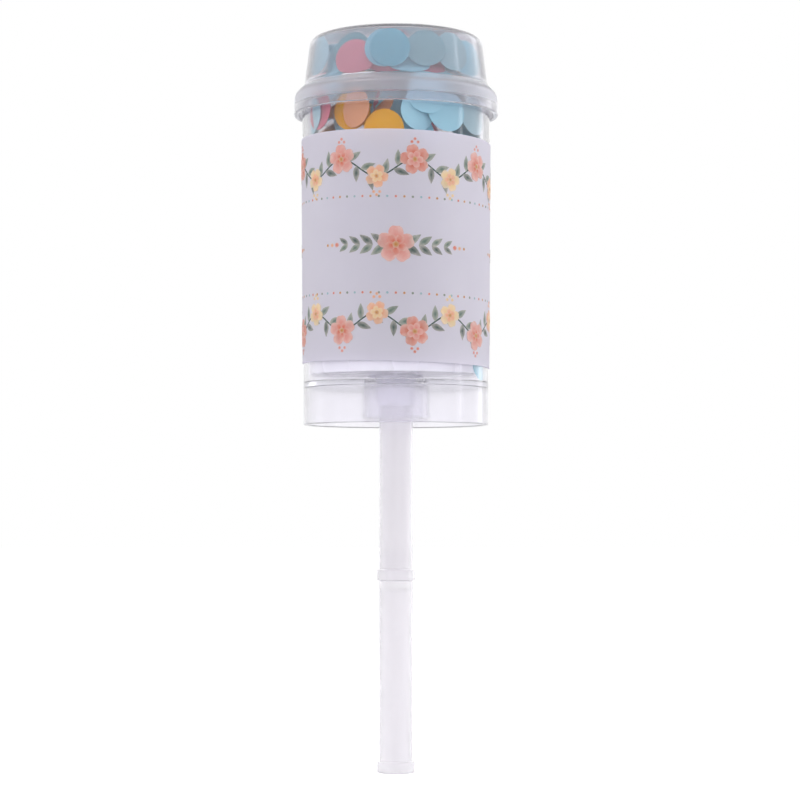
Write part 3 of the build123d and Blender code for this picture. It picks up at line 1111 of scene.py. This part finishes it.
def strewn_flakes():
    """A tree that lays a curled flake at each point, facing its own way."""
    tree, given = new_tree(
        "strewn_flakes",
        {
            "Flake": "NodeSocketObject",
            "Curl": "NodeSocketFloat",
            "Seed": "NodeSocketInt",
            "Paper": "NodeSocketMaterial",
        },
    )
    facing = point_value(tree, "facing", "FLOAT_VECTOR")
    level = add(tree, "ShaderNodeVectorMath", {0: facing, 1: (0, 0, 1)}, operation="CROSS_PRODUCT")
    faced = add(tree, "FunctionNodeAlignRotationToVector", {"Vector": facing}, axis="Z")
    levelled = add(
        tree,
        "FunctionNodeAlignRotationToVector",
        {"Rotation": faced.outputs["Rotation"], "Vector": level.outputs["Vector"]},
        axis="X",
        pivot_axis="Z",
    )
    flake = add(tree, "GeometryNodeObjectInfo", {"Object": given["Flake"]})
    laid = add(
        tree,
        "GeometryNodeInstanceOnPoints",
        {
            "Points": given["Geometry"],
            "Instance": flake.outputs["Geometry"],
            "Rotation": levelled.outputs["Rotation"],
        },
    )
    # A random shade for each flake, from seeds chosen so that it paints light on the window's flakes and
    # shade on some in the lid
    shade = add(tree, "FunctionNodeRandomValue", {"Seed": given["Seed"]}, data_type="FLOAT")
    shaded = add(
        tree,
        "GeometryNodeStoreNamedAttribute",
        {"Geometry": laid.outputs["Instances"], "Name": "shade", "Value": shade.outputs[1]},
        data_type="FLOAT",
        domain="INSTANCE",
    )
    plain = add(tree, "GeometryNodeRealizeInstances", {"Geometry": shaded.outputs["Geometry"]})
    across = point_value(tree, "across")
    crown = worked(tree, "SUBTRACT", 1.0, worked(tree, "MULTIPLY", across, across))
    curl = worked(tree, "MULTIPLY", point_value(tree, "shade"), given["Curl"])
    height = worked(tree, "MULTIPLY", crown, curl)
    lift = add(tree, "ShaderNodeVectorMath", {0: facing, "Scale": height}, operation="SCALE")
    curled = add(
        tree,
        "GeometryNodeSetPosition",
        {"Geometry": plain.outputs["Geometry"], "Offset": lift.outputs["Vector"]},
    )
    finished = add(
        tree,
        "GeometryNodeSetMaterial",
        {"Geometry": curled.outputs["Geometry"], "Material": given["Paper"]},
    )
    add(tree, "NodeGroupOutput", {"Geometry": finished.outputs["Geometry"]})
    return tree


flake = shown("flake", flake_mesh())
flake_tree = strewn_flakes()
for colour, tissue in flake_papers.items():
    places = flake_places(f"confetti_{colour}")
    if colour == "aqua":
        places += [window_place(*spot) for spot in window_flakes]
    points = bpy.data.meshes.new(f"{colour}_places")
    points.from_pydata([centre for centre, facing in places], [], [])
    facings = [part for centre, facing in places for part in facing]
    keep_values(points, "facing", facings, "FLOAT_VECTOR", "vector")
    flakes = grown(
        f"{colour}_flakes",
        points,
        flake_tree,
        {"Flake": flake, "Curl": flake_curl * mm, "Seed": flake_seeds[colour], "Paper": tissue},
    )
    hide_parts(f"confetti_{colour}")
    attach(flakes, "plunger")
    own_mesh(flakes)
bpy.data.objects.remove(flake)

# Floor, which is white to the camera and keeps the popper's shadow
floor_paint, tree = new_material("white_floor")
path = add(tree, "ShaderNodeLightPath").outputs
camera_or_mirror = worked(tree, "MAXIMUM", path["Is Camera Ray"], path["Is Glossy Ray"])
seen = worked(tree, "MAXIMUM", camera_or_mirror, path["Is Transmission Ray"])
glow = worked(tree, "MULTIPLY", seen, floor_glow)
white = add(tree, "ShaderNodeEmission", {"Color": linear("ffffff"), "Strength": glow})
matt = add(tree, "ShaderNodeBsdfDiffuse", {"Color": linear("b4b4b8")})
both = add(tree, "ShaderNodeAddShader", {0: white.outputs["Emission"], 1: matt.outputs["BSDF"]})
add(tree, "ShaderNodeOutputMaterial", {"Surface": both.outputs["Shader"]})
floor_sides = [(-1, -1), (1, -1), (1, 1), (-1, 1)]
floor_corners = [Vector((x * floor_reach, y * floor_reach, stick_foot)) * mm for x, y in floor_sides]
floor_mesh = bpy.data.meshes.new("floor")
floor_mesh.from_pydata(floor_corners, [], [(0, 1, 2, 3)])
shown("floor", floor_mesh, floor_paint)

# Room, which is plain white to the camera
room = bpy.data.worlds.new("white_room")
scene.world = room
room.use_nodes = True
tree = room.node_tree
tree.nodes.clear()
path = add(tree, "ShaderNodeLightPath").outputs
direction = add(tree, "ShaderNodeTexCoord").outputs["Generated"]
heading = add(tree, "ShaderNodeSeparateXYZ", {0: direction}).outputs
# What the plastic bends: white behind the popper, greyer upwards, brightest on the camera's side
backdrop = ranged(tree, heading["Z"], 0.1, 0.25, 1.0, 0.25)
front = ranged(tree, heading["Y"], -0.3, 0.6, 1.9, 0.0)
bent = worked(tree, "MAXIMUM", front, backdrop)
# What it mirrors: dim on the camera's side. What lights matt paper: more from behind
mirrored = ranged(tree, heading["Y"], -0.3, 0.3, 0.15, 1.2)
shed = ranged(tree, heading["Y"], 0.1, 0.8, 0.5, 1.2)
lit = blended(tree, path["Is Glossy Ray"], shed, mirrored)
even = blended(tree, path["Is Transmission Ray"], lit, bent)
strength = blended(tree, path["Is Camera Ray"], even, 1.0)
background = add(tree, "ShaderNodeBackground", {"Color": linear("ffffff"), "Strength": strength})
add(tree, "ShaderNodeOutputWorld", {"Surface": background.outputs["Background"]})


# Lamps and camera
def stood(name, kind, place, aim):
    """Puts a lamp or a camera at a place in millimetres, turned to its aim."""
    stand = bpy.data.objects.new(name, kind)
    stand.location = Vector(place) * mm
    stand.rotation_euler = (Vector(aim) - Vector(place)).to_track_quat("-Z", "Y").to_euler()
    scene.collection.objects.link(stand)
    return stand


def soft_box(name, place, aim, size, watts, mirrored):
    """A rectangular soft box, in millimetres, turned to what it lights. Plastic shows it if mirrored."""
    lamp = bpy.data.lights.new(name, "AREA")
    lamp.shape = "RECTANGLE"
    lamp.size = size[0] * mm
    lamp.size_y = size[1] * mm
    lamp.energy = watts
    box = stood(name, lamp, place, aim)
    box.visible_glossy = mirrored
    box.visible_transmission = mirrored


soft_box("right_soft_box", (640, -40, 120), lamp_aim, (400, 900), watts=2.6, mirrored=False)
soft_box("right_back_strip", (510, 400, 60), lamp_aim, (130, 900), watts=0.45, mirrored=True)
soft_box("right_strip", (650, -50, 60), lamp_aim, (36, 900), watts=0.3, mirrored=True)
soft_box("left_soft_box", (-660, -60, 120), lamp_aim, (300, 900), watts=2.9, mirrored=False)
soft_box("front_soft_box", (100, -820, 60), lamp_aim, (700, 260), watts=2.7, mirrored=False)
soft_box("top_soft_box", (0, -60, 640), (0, 0, 60), (400, 400), watts=0.7, mirrored=False)

camera = bpy.data.cameras.new("camera")
camera.lens = camera_lens
camera.clip_start = 1 * mm
scene.camera = stood("camera", camera, camera_place, camera_aim)
scene.view_settings.view_transform = "Standard"

bpy.context.view_layer.update()
